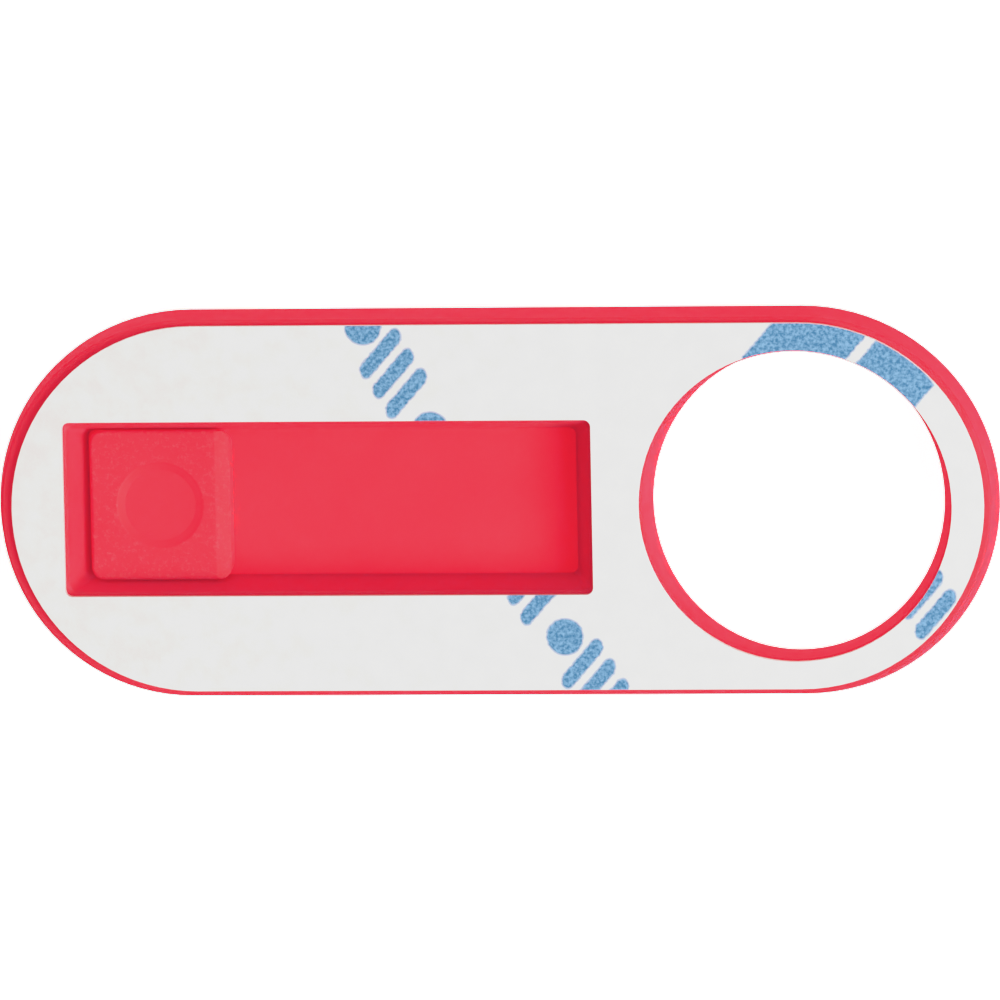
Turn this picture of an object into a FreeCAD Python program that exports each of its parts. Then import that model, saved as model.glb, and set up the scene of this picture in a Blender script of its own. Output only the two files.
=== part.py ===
import FreeCAD, Part
import math
import os

from FreeCAD import Vector

# Sliding camera cover, lying with its adhesive side up. Millimetres and degrees.
# +X runs along the cover towards the camera hole and +Z points out of the adhesive side.
# The origin lies on the shutter's outer face, under the middle of the base plate's outline.
# The front is the shutter's side of the base plate, and the back is the adhesive side.

# Camera hole: round at the back of the base plate, narrower and a little oval at the front
HOLE_DIAMETER = 13.04
HOLE_FRONT_LENGTH = 12.3
HOLE_FRONT_WIDTH = 12.8
HOLE_SIDE_RIM = 1.9
HOLE_END_RIM = 2.4

# Base plate
BASE_THICKNESS = 2.0
END_WALL = 3.85
WEB_WIDTH = 3.25
WALL_DRAFT = 9.0
FRONT_EDGE_RADIUS = 0.3
BACK_EDGE_BEVEL = 0.1

# Guide window, measured at the front of the base plate
WINDOW_WIDTH = 6.2
WINDOW_CORNER_RADIUS = 0.3
WINDOW_END_ANGLE = 20.0
DOVETAIL_ANGLE = 13.5

# Shutter plate
SHUTTER_THICKNESS = 0.9
SHUTTER_MARGIN = 0.2
SHUTTER_EDGE_RADIUS = 0.35
OPEN_CLEARANCE = 0.3

# Dovetail key on the back of the shutter
KEY_LENGTH = 6.0
KEY_HEIGHT = 0.95
KEY_END_DRAFT = 2.0
KEY_CORNER_RADIUS = 0.5
KEY_EDGE_RADIUS = 0.16
KEY_LEAD_LENGTH = 0.65
KEY_LEAD_ANGLE = 12.0
DIMPLE_DIAMETER = 3.7
DIMPLE_DEPTH = 0.08
DIMPLE_WALL_ANGLE = 13.0

# Finger grooves in the front of the shutter
GRIP_COUNT = 3
GRIP_PITCH = 1.6
GRIP_WIDTH = 0.8
GRIP_FLOOR_WIDTH = 0.5
GRIP_LENGTH = 7.0
GRIP_DEPTH = 0.3

# Running clearances of the shutter
FACE_CLEARANCE = 0.05
SIDE_CLEARANCE = 0.1
END_CLEARANCE = 0.1

# Adhesive tape and its release liner
ADHESIVE_THICKNESS = 0.2
LINER_THICKNESS = 0.1
TAPE_MARGIN = 0.05
TAPE_HOLE_MARGIN = 0.08
TAPE_SIDE_MARGIN = 0.14
TAPE_HOLE_END_MARGIN = 0.2
TAPE_KEY_END_MARGIN = 0.4

# Heights, from the face that the cover lies on
FRONT_Z = SHUTTER_THICKNESS + FACE_CLEARANCE
BACK_Z = FRONT_Z + BASE_THICKNESS
KEY_Z = FRONT_Z + KEY_HEIGHT
LINER_Z = BACK_Z + ADHESIVE_THICKNESS

# The shutter must clear the hole when open and reach past it when closed
SHUTTER_INSET = FRONT_EDGE_RADIUS + SHUTTER_MARGIN
TRAVEL = OPEN_CLEARANCE + HOLE_FRONT_LENGTH + HOLE_END_RIM - SHUTTER_INSET
WINDOW_LENGTH = KEY_LENGTH + TRAVEL + 2 * END_CLEARANCE

# The base plate is as large as the window, the hole and the walls round them
BASE_LENGTH = END_WALL + WINDOW_LENGTH + WEB_WIDTH + HOLE_FRONT_LENGTH + HOLE_END_RIM
BASE_WIDTH = HOLE_FRONT_WIDTH + 2 * HOLE_SIDE_RIM
WINDOW_X = -BASE_LENGTH / 2 + END_WALL + WINDOW_LENGTH / 2
HOLE_X = BASE_LENGTH / 2 - HOLE_END_RIM - HOLE_FRONT_LENGTH / 2

# The shutter fills the base plate's length less its travel, and is drawn open
SHUTTER_LENGTH = BASE_LENGTH - 2 * SHUTTER_INSET - TRAVEL
SHUTTER_WIDTH = BASE_WIDTH - 2 * SHUTTER_INSET
SHUTTER_X = -TRAVEL / 2
KEY_X = WINDOW_X - TRAVEL / 2

# How far each leaning wall has moved, at the foot of its bevel, from its place at the front
BEVEL_Z = BACK_Z - BACK_EDGE_BEVEL
WALL_LEAN = (BEVEL_Z - FRONT_Z) * math.tan(math.radians(WALL_DRAFT))
DOVETAIL_SLOPE = math.tan(math.radians(DOVETAIL_ANGLE))
WINDOW_SIDE_LEAN = (BEVEL_Z - FRONT_Z) * DOVETAIL_SLOPE
WINDOW_END_LEAN = (BEVEL_Z - FRONT_Z) * math.tan(math.radians(WINDOW_END_ANGLE))
TAPE_INSET = BACK_EDGE_BEVEL + TAPE_MARGIN

FLAT_TOLERANCE = 1e-6


def stadium(length, width, x, z):
    """Outline along X with two straight sides and two half-round ends."""
    radius = width / 2
    reach = length / 2 - radius
    lower_left = Vector(x - reach, -radius, z)
    lower_right = Vector(x + reach, -radius, z)
    upper_right = Vector(x + reach, radius, z)
    upper_left = Vector(x - reach, radius, z)
    right_tip = Vector(x + length / 2, 0, z)
    left_tip = Vector(x - length / 2, 0, z)
    return Part.Wire([
        Part.makeLine(lower_left, lower_right),
        Part.Arc(lower_right, right_tip, upper_right).toShape(),
        Part.makeLine(upper_right, upper_left),
        Part.Arc(upper_left, left_tip, lower_left).toShape(),
    ])


def rounded_rectangle(length, width, radius, x, z):
    """Outline along X with four straight sides and four round corners."""
    arcs = []
    for quarter, (side_x, side_y) in enumerate([(1, 1), (-1, 1), (-1, -1), (1, -1)]):
        centre = Vector(x + side_x * (length / 2 - radius), side_y * (width / 2 - radius), z)
        angles = [math.radians(90 * quarter + turn) for turn in (0, 45, 90)]
        points = [centre + Vector(radius * math.cos(a), radius * math.sin(a), 0) for a in angles]
        arcs.append(Part.Arc(*points).toShape())
    edges = []
    for arc, following in zip(arcs, arcs[1:] + arcs[:1]):
        edges.append(arc)
        edges.append(Part.makeLine(arc.lastVertex().Point, following.firstVertex().Point))
    return Part.Wire(edges)


def base_outline(grow, z):
    return stadium(BASE_LENGTH + 2 * grow, BASE_WIDTH + 2 * grow, 0, z)


def hole_outline(length, width, z):
    """Oval outline round the camera's line of sight, in four quarters."""
    stretch = FreeCAD.Matrix()
    stretch.scale(length / 2, width / 2, 1)
    stretch.move(Vector(HOLE_X, 0, z))
    up = Vector(0, 0, 1)
    quarters = [Part.makeCircle(1, Vector(0, 0, 0), up, start, start + 90) for start in (0, 90, 180, 270)]
    return Part.Wire([quarter.transformGeometry(stretch) for quarter in quarters])


def round_hole_outline(grow, z):
    diameter = HOLE_DIAMETER + 2 * grow
    return hole_outline(diameter, diameter, z)


def window_outline(end_grow, side_grow, z):
    length = WINDOW_LENGTH + 2 * end_grow
    return rounded_rectangle(length, WINDOW_WIDTH + 2 * side_grow, WINDOW_CORNER_RADIUS, WINDOW_X, z)


def between(*outlines):
    """Solid with straight walls from each outline to the next one above it."""
    return Part.makeLoft(list(outlines), True, True)


def edges_at(shape, z):
    """Every edge of the shape that lies flat at one height."""
    return [e for e in shape.Edges if all(abs(v.Z - z) < FLAT_TOLERANCE for v in e.Vertexes)]


def base_plate():
    """Leaning stadium plate with the camera hole and the dovetail window right through it."""
    plate = between(
        base_outline(0, FRONT_Z),
        base_outline(-WALL_LEAN, BEVEL_Z),
        base_outline(-WALL_LEAN - BACK_EDGE_BEVEL, BACK_Z),
    )
    plate = plate.makeFillet(FRONT_EDGE_RADIUS, edges_at(plate, FRONT_Z))
    hole = between(
        hole_outline(HOLE_FRONT_LENGTH, HOLE_FRONT_WIDTH, FRONT_Z),
        round_hole_outline(0, BEVEL_Z),
        round_hole_outline(BACK_EDGE_BEVEL, BACK_Z),
    )
    window = between(
        window_outline(0, 0, FRONT_Z),
        window_outline(WINDOW_END_LEAN, WINDOW_SIDE_LEAN, BEVEL_Z),
        window_outline(WINDOW_END_LEAN + BACK_EDGE_BEVEL, WINDOW_SIDE_LEAN + BACK_EDGE_BEVEL, BACK_Z),
    )
    return plate.cut([hole, window])


def dovetail_key():
    """Block that rides in the window: wider at its top than the window is at the front."""
    end_slope = math.tan(math.radians(KEY_END_DRAFT))

    def section(z):
        rise = z - FRONT_Z
        width = WINDOW_WIDTH - 2 * SIDE_CLEARANCE + 2 * rise * DOVETAIL_SLOPE
        length = KEY_LENGTH - 2 * rise * end_slope
        return rounded_rectangle(length, width, KEY_CORNER_RADIUS, KEY_X, z)

    key = between(section(SHUTTER_THICKNESS), section(KEY_Z))
    key = key.makeFillet(KEY_EDGE_RADIUS, edges_at(key, KEY_Z))
    dimple_lean = DIMPLE_DEPTH / math.tan(math.radians(DIMPLE_WALL_ANGLE))
    dimple = Part.makeCone(
        DIMPLE_DIAMETER / 2 - dimple_lean,
        DIMPLE_DIAMETER / 2,
        DIMPLE_DEPTH,
        Vector(KEY_X, 0, KEY_Z - DIMPLE_DEPTH),
    )
    return key.cut([dimple, key_lead()])


def key_lead():
    """Wedge that takes a shallow slope off the key's top, at its end towards the hole."""
    tip = KEY_X + KEY_LENGTH / 2
    drop = KEY_LEAD_LENGTH * math.tan(math.radians(KEY_LEAD_ANGLE))
    profile = Part.makePolygon([
        Vector(tip - KEY_LEAD_LENGTH, -BASE_WIDTH / 2, KEY_Z),
        Vector(tip, -BASE_WIDTH / 2, KEY_Z - drop),
        Vector(tip, -BASE_WIDTH / 2, KEY_Z),
        Vector(tip - KEY_LEAD_LENGTH, -BASE_WIDTH / 2, KEY_Z),
    ])
    return Part.Face(profile).extrude(Vector(0, BASE_WIDTH, 0))


def finger_grooves():
    """Shallow round-ended pockets across the shutter's front face."""
    floor_length = GRIP_LENGTH - (GRIP_WIDTH - GRIP_FLOOR_WIDTH)
    grooves = []
    for index in range(GRIP_COUNT):
        groove = between(
            stadium(GRIP_LENGTH, GRIP_WIDTH, 0, 0),
            stadium(floor_length, GRIP_FLOOR_WIDTH, 0, GRIP_DEPTH),
        )
        groove.rotate(Vector(0, 0, 0), Vector(0, 0, 1), 90)
        groove.translate(Vector(SHUTTER_X + GRIP_PITCH * (index - (GRIP_COUNT - 1) / 2), 0, 0))
        grooves.append(groove)
    return grooves


def shutter():
    """Stadium plate that covers the hole, in one piece with its dovetail key."""
    plate = between(
        stadium(SHUTTER_LENGTH, SHUTTER_WIDTH, SHUTTER_X, 0),
        stadium(SHUTTER_LENGTH, SHUTTER_WIDTH, SHUTTER_X, SHUTTER_THICKNESS),
    )
    plate = plate.makeFillet(SHUTTER_EDGE_RADIUS, edges_at(plate, 0))
    return plate.cut(finger_grooves()).fuse(dovetail_key())


def tape_layer(z, thickness):
    """One die-cut sheet: the base plate's back outline with its hole and window, a little inside the edges."""
    end_margins = TAPE_HOLE_END_MARGIN + TAPE_KEY_END_MARGIN
    length = BASE_LENGTH - 2 * (WALL_LEAN + BACK_EDGE_BEVEL) - end_margins
    width = BASE_WIDTH - 2 * (WALL_LEAN + BACK_EDGE_BEVEL + TAPE_SIDE_MARGIN)
    outline = Part.Face(stadium(length, width, (TAPE_KEY_END_MARGIN - TAPE_HOLE_END_MARGIN) / 2, z))
    hole = Part.Face(round_hole_outline(TAPE_HOLE_MARGIN, z))
    window = Part.Face(window_outline(WINDOW_END_LEAN + TAPE_INSET, WINDOW_SIDE_LEAN + TAPE_INSET, z))
    sheet = outline.cut([hole, window])
    return sheet.Faces[0].extrude(Vector(0, 0, thickness))


os.makedirs("parts", exist_ok=True)
base_plate().exportStep("parts/base_plate.step")
shutter().exportStep("parts/shutter.step")
tape_layer(BACK_Z, ADHESIVE_THICKNESS).exportStep("parts/adhesive_pad.step")
tape_layer(LINER_Z, LINER_THICKNESS).exportStep("parts/release_liner.step")
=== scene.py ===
import math

import bpy
from mathutils import Matrix, Vector


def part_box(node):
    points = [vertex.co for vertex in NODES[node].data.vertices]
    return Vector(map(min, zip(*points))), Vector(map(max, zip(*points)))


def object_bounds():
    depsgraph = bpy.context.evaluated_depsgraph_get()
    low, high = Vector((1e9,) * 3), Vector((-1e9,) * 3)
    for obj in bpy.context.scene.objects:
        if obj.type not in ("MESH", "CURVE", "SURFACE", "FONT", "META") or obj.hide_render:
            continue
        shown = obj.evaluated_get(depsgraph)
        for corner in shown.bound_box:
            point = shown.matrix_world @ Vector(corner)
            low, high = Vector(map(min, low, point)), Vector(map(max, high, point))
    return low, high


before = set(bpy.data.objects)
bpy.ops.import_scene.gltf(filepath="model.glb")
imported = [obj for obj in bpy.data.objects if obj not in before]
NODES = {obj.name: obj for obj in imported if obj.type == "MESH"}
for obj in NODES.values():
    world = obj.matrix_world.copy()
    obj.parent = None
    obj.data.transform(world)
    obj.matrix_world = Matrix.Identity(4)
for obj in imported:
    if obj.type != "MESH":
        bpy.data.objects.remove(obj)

CAD_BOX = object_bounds()
MM = 0.001
WHITE = (1.0, 1.0, 1.0, 1.0)

# The photograph's view: the camera stands a little towards the hole end and the upper long side
VIEW_TILT_X = 6.0
VIEW_TILT_Y = 8.1
VIEW_ROLL = 0.28
VIEW_CENTRE_MM = (0.28, 0.34)
FRAME_WIDTH_MM = 42.04
LENS_MM = 500.0
SENSOR_MM = 36.0
NEAREST_M = 0.01
FARTHEST_M = 10.0

# Film response: scene light against shown light. Each colour has its own lows and all share the highs
FILM_RED_LOW = [
    (0.04, 0.085), (0.11, 0.28), (0.2, 0.475), (0.3, 0.56),
    (0.45, 0.655), (0.6, 0.735), (0.7, 0.78),
]
FILM_GREEN_LOW = [(0.01, 0.0135), (0.02, 0.021)]
FILM_BLUE_LOW = [(0.014, 0.036), (0.027, 0.052), (0.05, 0.067), (0.08, 0.088), (0.12, 0.122)]
FILM_LOWS = (FILM_RED_LOW, FILM_GREEN_LOW, FILM_BLUE_LOW)
FILM_FOG = (0.0, 0.009, 0.026)
FILM_HIGH = [(0.8, 0.80), (0.92, 0.825), (1.7, 0.84)]
FILM_WHITE = (1.82, 1.0)


class Graph:
    """A material's node tree, with one call for each node."""

    def __init__(self, name):
        self.material = bpy.data.materials.new(name)
        self.material.use_nodes = True
        self.tree = self.material.node_tree
        self.shader = self.tree.nodes["Principled BSDF"]
        self.place = self.millimetres()

    def add(self, kind, inputs=None, **settings):
        node = self.tree.nodes.new(kind)
        for key, value in settings.items():
            setattr(node, key, value)
        for key, value in (inputs or {}).items():
            self.feed(node.inputs[key], value)
        return node

    def feed(self, socket, value):
        if isinstance(value, bpy.types.NodeSocket):
            self.tree.links.new(value, socket)
        else:
            socket.default_value = value

    def shade(self, **inputs):
        """Sets the surface's own sockets, with underscores for the spaces in their names."""
        for key, value in inputs.items():
            self.feed(self.shader.inputs[key.replace("_", " ")], value)

    def math(self, operation, *values):
        return self.add("ShaderNodeMath", dict(enumerate(values)), operation=operation).outputs[0]

    def millimetres(self):
        """The piece's own coordinates, in millimetres."""
        own = self.add("ShaderNodeTexCoord").outputs["Object"]
        scaled = self.add("ShaderNodeVectorMath", {0: own, "Scale": 1 / MM}, operation="SCALE")
        return scaled.outputs[0]

    def axes(self):
        split = self.add("ShaderNodeSeparateXYZ", {0: self.place})
        return split.outputs[0], split.outputs[1], split.outputs[2]

    def far(self, first, second):
        """How far the point with these two coordinates is from zero."""
        squares = [self.math("MULTIPLY", value, value) for value in (first, second)]
        return self.math("SQRT", self.math("ADD", *squares))

    def inside(self, distance, half, soft):
        """One where the distance from zero is less than half, and zero beyond it."""
        return self.ramp(self.math("ABSOLUTE", distance), half - soft, half + soft, 1.0, 0.0)

    def either(self, *masks):
        joined = masks[0]
        for mask in masks[1:]:
            joined = self.math("MAXIMUM", joined, mask)
        return joined

    def noise(self, pattern):
        """A pattern is its grains per millimetre, its detail and its roughness."""
        per_mm, detail, roughness = pattern
        inputs = {"Vector": self.place, "Scale": per_mm, "Detail": detail, "Roughness": roughness}
        return self.add("ShaderNodeTexNoise", inputs).outputs[0]

    def ramp(self, value, low, high, to_low=0.0, to_high=1.0):
        """Goes smoothly from to_low to to_high while the value goes from low to high."""
        inputs = {0: value, 1: low, 2: high, 3: to_low, 4: to_high}
        return self.add("ShaderNodeMapRange", inputs, interpolation_type="SMOOTHSTEP").outputs[0]

    def patches(self, pattern, span, to_low=0.0, to_high=1.0):
        """Soft patches: the pattern's values within the span, spread from to_low to to_high."""
        return self.ramp(self.noise(pattern), *span, to_low, to_high)

    def mix(self, share, first, second):
        """Mixes two colours. The node's colour sockets are told apart by number."""
        return self.add("ShaderNodeMix", {0: share, 6: first, 7: second}, data_type="RGBA").outputs[2]

    def bump(self, height, depth_mm, under=None):
        inputs = {"Height": height, "Distance": depth_mm * MM, "Strength": 1.0}
        if under is not None:
            inputs["Normal"] = under
        return self.add("ShaderNodeBump", inputs).outputs[0]


# Red moulded plastic, coloured right through and a little translucent
RED = (0.885, 0.043, 0.074, 1.0)
RED_DEEP = (0.875, 0.038, 0.068, 1.0)
FLOW_NOISE = (0.25, 2.0, 0.5)
FLOW_SPAN = (0.35, 0.65)
SKIN_NOISE = (7.0, 4.0, 0.6)
SKIN_DEPTH_MM = 0.003
SATIN_NOISE = (1.1, 2.0, 0.5)
SATIN_SPAN = (0.3, 0.7)
SATIN_ROUGHNESS = (0.52, 0.6)
SATIN_SPECULAR = 0.25
SCATTER_MM = 1.8
SCATTER_SHARES = (1.0, 0.05, 0.04)


def flow_colour(g):
    """Faint cloudy streaks, as the melt leaves them."""
    return g.mix(g.patches(FLOW_NOISE, FLOW_SPAN), RED_DEEP, RED)


def mould_skin(g):
    """The fine skin that the mould's surface prints on the plastic."""
    return g.bump(g.noise(SKIN_NOISE), SKIN_DEPTH_MM)


def red_plastic(g, colour, normal):
    """What both red pieces share. Red light travels far inside the plastic, green and blue hardly."""
    g.shade(
        Base_Color=colour,
        Roughness=g.patches(SATIN_NOISE, SATIN_SPAN, *SATIN_ROUGHNESS),
        Specular_IOR_Level=SATIN_SPECULAR,
        Subsurface_Weight=1.0,
        Subsurface_Radius=SCATTER_SHARES,
        Subsurface_Scale=SCATTER_MM * MM,
        Normal=normal,
    )
    return g


def base_plastic():
    g = Graph("base_plastic")
    return red_plastic(g, flow_colour(g), mould_skin(g))


# The key's frosted face, measured from its top, its middle and its dimple's edge
# Painted highlight: a lighter red for specks that stand in for light on the frosted grain's peaks
RED_GRAIN_GLINT = (0.865, 0.082, 0.115, 1.0)
# Painted shade: a darker red for a ring just inside the dimple's edge
RED_RIM_SHADE = (0.865, 0.036, 0.064, 1.0)
KEY_X_MM = -14.3
LEAD_DROP_MM = 0.145
LEAD_EDGE_MM = 0.02
DIMPLE_RADIUS_MM = 1.85
DIMPLE_SHADE_RING_MM = 0.35
SHADE_RING_EDGE_MM = 0.06
FROST_EDGE_MM = (-0.1, 0.05)
GRAIN_NOISE = (4.2, 4.0, 0.65)
GRAIN_DEPTH_MM = 0.03
GLINT_NOISE = (5.5, 4.0, 0.7)
GLINT_SPAN = (0.48, 0.75)


def shutter_plastic():
    """The same plastic, with a frosted face on the key round its smooth dimple. Lighter specks on the
    frosted face are painted highlight on its grain, and a darker ring inside the dimple's edge is
    painted shade.
    """
    g = Graph("shutter_plastic")
    x, y, z = g.axes()
    key_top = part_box("shutter")[1].z / MM
    raised = g.ramp(z, key_top - LEAD_DROP_MM - LEAD_EDGE_MM, key_top - LEAD_DROP_MM)
    from_centre = g.far(g.math("SUBTRACT", x, KEY_X_MM), y)
    past_dimple = g.math("SUBTRACT", from_centre, DIMPLE_RADIUS_MM)
    frosted = g.math("MULTIPLY", raised, g.ramp(past_dimple, *FROST_EDGE_MM))
    grain = g.math("MULTIPLY", g.noise(GRAIN_NOISE), frosted)
    # Painted highlight: lighter specks where light would catch the grain
    grain_glints = g.math("MULTIPLY", g.patches(GLINT_NOISE, GLINT_SPAN), frosted)
    # Painted shade: a darker ring inside the dimple's edge
    rim_shade = g.inside(g.math("ADD", past_dimple, DIMPLE_SHADE_RING_MM / 2), DIMPLE_SHADE_RING_MM / 2, SHADE_RING_EDGE_MM)
    colour = g.mix(grain_glints, g.mix(rim_shade, flow_colour(g), RED_RIM_SHADE), RED_GRAIN_GLINT)
    return red_plastic(g, colour, g.bump(grain, GRAIN_DEPTH_MM, mould_skin(g)))


# Release liner: siliconised paper
PAPER = (0.725, 0.725, 0.710, 1.0)
PAPER_SHADE = (0.675, 0.676, 0.662, 1.0)
FIBRE_NOISE = (0.9, 5.0, 0.6)
FIBRE_SPAN = (0.3, 0.7)
TOOTH_NOISE = (5.0, 4.0, 0.6)
TOOTH_DEPTH_MM = 0.006
PAPER_ROUGHNESS = 0.52
PAPER_SPECULAR = 0.0

# The liner's blue print: slanting rows of marks and a field of colour
INK = (0.033, 0.205, 0.365, 1.0)
INK_PALE = (0.093, 0.425, 0.620, 1.0)
INK_HALO = (0.185, 0.500, 0.620, 1.0)
INK_ROUGHNESS = 0.62
INK_EDGE_MM = 0.08
INK_DEPTH_MM = 0.01
HALO_SHARE = 0.5
MOTTLE_NOISE = (6.5, 3.0, 0.6)
MOTTLE_SPAN = (0.32, 0.68)
RAGGED_NOISE = (5.0, 3.0, 0.6)
RAGGED_MIDDLE = 0.5
RAGGED_MM = 0.12
ROW_ANGLE = -57.9
ROW_MM = -0.45
ROW_SPACING_MM = 13.73
SECOND_ROW_START_MM = 8.0
MARK_PERIOD_MM = 5.2
MARK_HALF_MM = 1.2
DOT_MM = 1.0
DOT_RADIUS_MM = 0.78
BARS_MM = (2.35, 3.35, 4.35)
BAR_HALF_MM = 0.33
BAR_LEAN = 0.3
FIELD_MM = 15.4
FIELD_HALF_MM = 3.1
FIELD_PARTS_MM = ((1.1, 1.75), (4.9, 1.6))


def row_marks(g, along, across):
    """One printed row: a dot and three leaning bars with round ends, over and over."""
    place = g.math("WRAP", along, MARK_PERIOD_MM, 0.0)
    from_dot = g.far(g.math("SUBTRACT", place, DOT_MM), across)
    leaning = g.math("MULTIPLY_ADD", across, BAR_LEAN, place)
    past_end = g.math("SUBTRACT", g.math("ABSOLUTE", across), MARK_HALF_MM - BAR_HALF_MM)
    past_end = g.math("MAXIMUM", past_end, 0.0)
    marks = [g.inside(from_dot, DOT_RADIUS_MM, INK_EDGE_MM)]
    for middle in BARS_MM:
        from_bar = g.far(g.math("SUBTRACT", leaning, middle), past_end)
        marks.append(g.inside(from_bar, BAR_HALF_MM, INK_EDGE_MM))
    return g.either(*marks)


def colour_fields(g, along, across):
    """A broad two-part field of colour that the hole cuts into."""
    leaning = g.math("MULTIPLY_ADD", across, BAR_LEAN, along)
    parts = []
    for middle, half in FIELD_PARTS_MM:
        parts.append(g.inside(g.math("SUBTRACT", leaning, middle), half, INK_EDGE_MM))
    return g.math("MULTIPLY", g.either(*parts), g.inside(across, FIELD_HALF_MM, INK_EDGE_MM))


def printed_places(g):
    """One where the print lies on the liner's upper face. The ink's edge is ragged."""
    x, y, z = g.axes()
    top = g.math("GREATER_THAN", z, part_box("release_liner")[1].z / MM - INK_DEPTH_MM)
    ragged = g.math("SUBTRACT", g.noise(RAGGED_NOISE), RAGGED_MIDDLE)
    ragged = g.math("MULTIPLY", ragged, RAGGED_MM)
    turn = math.radians(ROW_ANGLE)
    cos, sin = math.cos(turn), math.sin(turn)
    along = g.math("MULTIPLY_ADD", x, cos, g.math("MULTIPLY_ADD", y, sin, ragged))
    across = g.math("MULTIPLY_ADD", x, -sin, g.math("MULTIPLY_ADD", y, cos, ragged))
    first = row_marks(g, along, g.math("SUBTRACT", across, ROW_MM))
    second = row_marks(g, along, g.math("SUBTRACT", across, ROW_MM + ROW_SPACING_MM))
    second = g.math("MULTIPLY", second, g.math("GREATER_THAN", along, SECOND_ROW_START_MM))
    fields = colour_fields(g, along, g.math("SUBTRACT", across, FIELD_MM))
    return g.math("MULTIPLY", g.either(first, second, fields), top)


def paper():
    """White paper with a mottled print, which has a pale halo at its edges."""
    g = Graph("liner_paper")
    printed = printed_places(g)
    plain = g.mix(g.patches(FIBRE_NOISE, FIBRE_SPAN), PAPER_SHADE, PAPER)
    stained = g.mix(g.ramp(printed, 0.0, HALO_SHARE), plain, INK_HALO)
    ink = g.mix(g.patches(MOTTLE_NOISE, MOTTLE_SPAN), INK, INK_PALE)
    g.shade(
        Base_Color=g.mix(g.ramp(printed, HALO_SHARE, 1.0), stained, ink),
        Roughness=g.ramp(printed, 0.0, 1.0, PAPER_ROUGHNESS, INK_ROUGHNESS),
        Specular_IOR_Level=PAPER_SPECULAR,
        Normal=g.bump(g.noise(TOOTH_NOISE), TOOTH_DEPTH_MM),
    )
    return g


# Adhesive tape, seen only at its cut edges
TAPE = (0.86, 0.85, 0.83, 1.0)
TAPE_CLOUD = (0.80, 0.78, 0.76, 1.0)
TAPE_NOISE = (2.0, 3.0, 0.5)
TAPE_SPAN = (0.3, 0.7)
TAPE_ROUGHNESS = 0.35
TAPE_SCATTER = 0.5
TAPE_SCATTER_MM = 0.2
TAPE_SCATTER_SHARES = (1.0, 0.9, 0.8)
CUT_NOISE = (6.0, 3.0, 0.5)
CUT_DEPTH_MM = 0.004


def tape():
    """Translucent white adhesive."""
    g = Graph("adhesive_tape")
    g.shade(
        Base_Color=g.mix(g.patches(TAPE_NOISE, TAPE_SPAN), TAPE_CLOUD, TAPE),
        Roughness=TAPE_ROUGHNESS,
        Subsurface_Weight=TAPE_SCATTER,
        Subsurface_Radius=TAPE_SCATTER_SHARES,
        Subsurface_Scale=TAPE_SCATTER_MM * MM,
        Normal=g.bump(g.noise(CUT_NOISE), CUT_DEPTH_MM),
    )
    return g


def dress(node, graph):
    NODES[node].data.materials.clear()
    NODES[node].data.materials.append(graph.material)


dress("base_plate", base_plastic())
dress("shutter", shutter_plastic())
dress("release_liner", paper())
dress("adhesive_pad", tape())


# Studio floor: pale, and it glows as a light table does
FLOOR_M = 4.0
FLOOR_PALE = (0.22, 0.22, 0.22, 1.0)
FLOOR_CLOUD = (0.20, 0.20, 0.20, 1.0)
FLOOR_NOISE = (0.02, 2.0, 0.5)
FLOOR_SPAN = (0.3, 0.7)
FLOOR_ROUGHNESS = 0.9
FLOOR_SPECULAR = 0.2
FLOOR_GLOW = 1.78

# Studio lamps: the way from the part to each lamp, its width in metres and its watts
SKY_STRENGTH = 0.05
LAMP_DISTANCE_M = 0.5
LAMPS = {
    "main_light": ((2.1, -0.85, 2.15), 0.3, 3.6),
    "fill_light": ((-0.1, 1.0, 0.5), 0.4, 0.5),
    "top_light": ((0.1, 0.0, 1.0), 1.0, 0.7),
}


def floor_material():
    g = Graph("pale_floor")
    g.shade(
        Base_Color=g.mix(g.patches(FLOOR_NOISE, FLOOR_SPAN), FLOOR_CLOUD, FLOOR_PALE),
        Roughness=FLOOR_ROUGHNESS,
        Specular_IOR_Level=FLOOR_SPECULAR,
        Emission_Color=WHITE,
        Emission_Strength=FLOOR_GLOW,
    )
    return g


def make_floor():
    """The floor lights the part but isn't mirrored in it."""
    bpy.ops.mesh.primitive_plane_add(size=FLOOR_M)
    floor = bpy.context.object
    floor.name = "floor"
    floor.visible_glossy = False
    floor.data.materials.append(floor_material().material)


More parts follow.
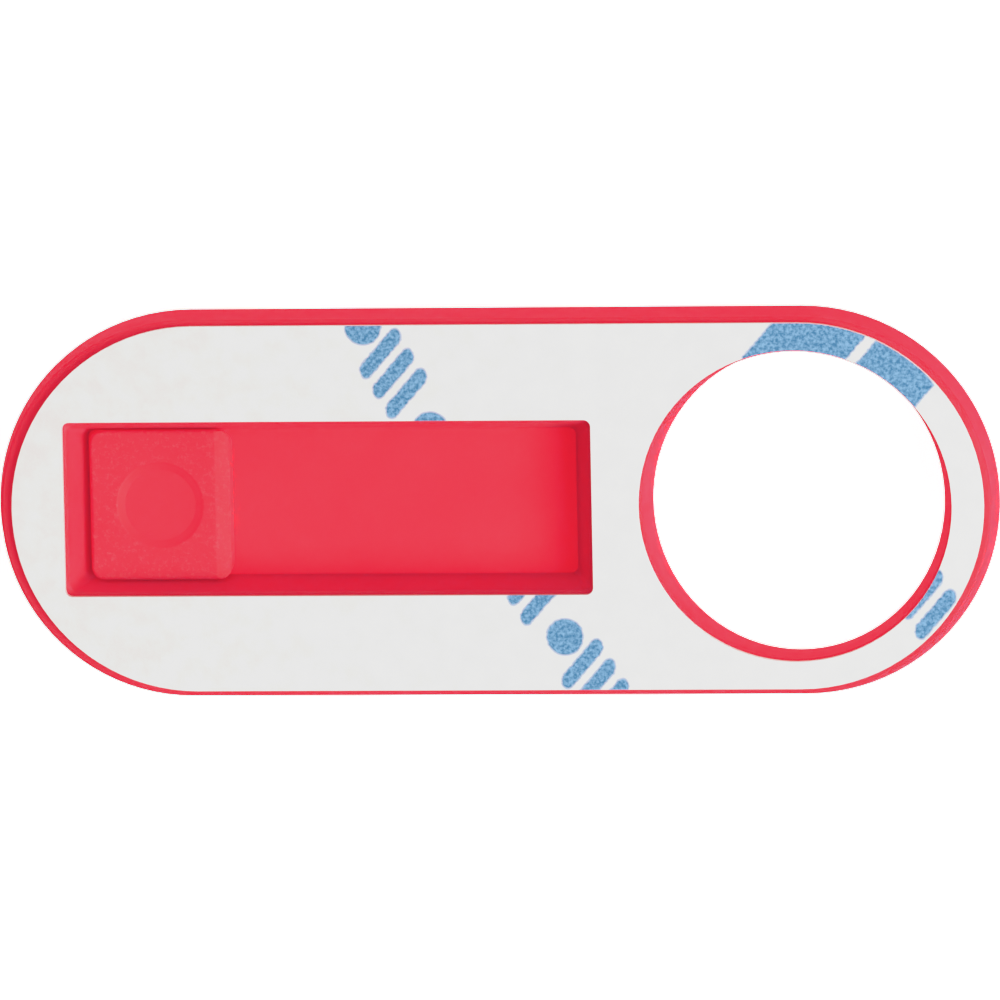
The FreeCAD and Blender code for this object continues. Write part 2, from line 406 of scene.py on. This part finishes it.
def make_camera():
    """Looks down at the middle of the view, with the part's long side level but for the roll."""
    tilt = [math.tan(math.radians(angle)) for angle in (VIEW_TILT_X, VIEW_TILT_Y)]
    back = Vector((tilt[0], tilt[1], 1.0)).normalized()
    along = Vector((1.0, 0.0, 0.0))
    right = (along - along.dot(back) * back).normalized()
    up = back.cross(right)
    turn = Matrix((right, up, back)).transposed().to_4x4()
    data = bpy.data.cameras.new("photo_camera")
    data.lens = LENS_MM
    data.sensor_width = SENSOR_MM
    data.clip_start = NEAREST_M
    data.clip_end = FARTHEST_M
    camera = bpy.data.objects.new("photo_camera", data)
    bpy.context.scene.collection.objects.link(camera)
    target = Vector((VIEW_CENTRE_MM[0] * MM, VIEW_CENTRE_MM[1] * MM, CAD_BOX[1].z))
    distance = FRAME_WIDTH_MM * MM * LENS_MM / SENSOR_MM
    roll = Matrix.Rotation(math.radians(-VIEW_ROLL), 4, "Z")
    camera.matrix_world = Matrix.Translation(target + back * distance) @ turn @ roll
    bpy.context.scene.camera = camera


def area_light(name, towards, width, watts):
    """A round soft lamp that faces the part."""
    data = bpy.data.lights.new(name, "AREA")
    data.shape = "DISK"
    data.size = width
    data.energy = watts
    light = bpy.data.objects.new(name, data)
    bpy.context.scene.collection.objects.link(light)
    direction = Vector(towards).normalized()
    light.location = direction * LAMP_DISTANCE_M
    light.rotation_mode = "QUATERNION"
    light.rotation_quaternion = direction.to_track_quat("Z", "Y")
    light.visible_camera = False


def make_light():
    world = bpy.data.worlds.new("studio")
    world.use_nodes = True
    sky = world.node_tree.nodes["Background"]
    sky.inputs["Color"].default_value = WHITE
    sky.inputs["Strength"].default_value = SKY_STRENGTH
    bpy.context.scene.world = world
    for name, (towards, width, watts) in LAMPS.items():
        area_light(name, towards, width, watts)


def make_film():
    """A film-like response, which holds the strong red steady between its light and shaded sides."""
    view = bpy.context.scene.view_settings
    view.view_transform = "Standard"
    view.use_curve_mapping = True
    mapping = view.curve_mapping
    mapping.use_clip = False
    for curve, fog, low in zip(mapping.curves, FILM_FOG, FILM_LOWS):
        curve.points[0].location = (0.0, fog)
        curve.points[1].location = FILM_WHITE
        for light, shown in low + FILM_HIGH:
            curve.points.new(light, shown)
        for point in curve.points:
            point.handle_type = "VECTOR"
    mapping.update()


make_floor()
make_camera()
make_light()
make_film()
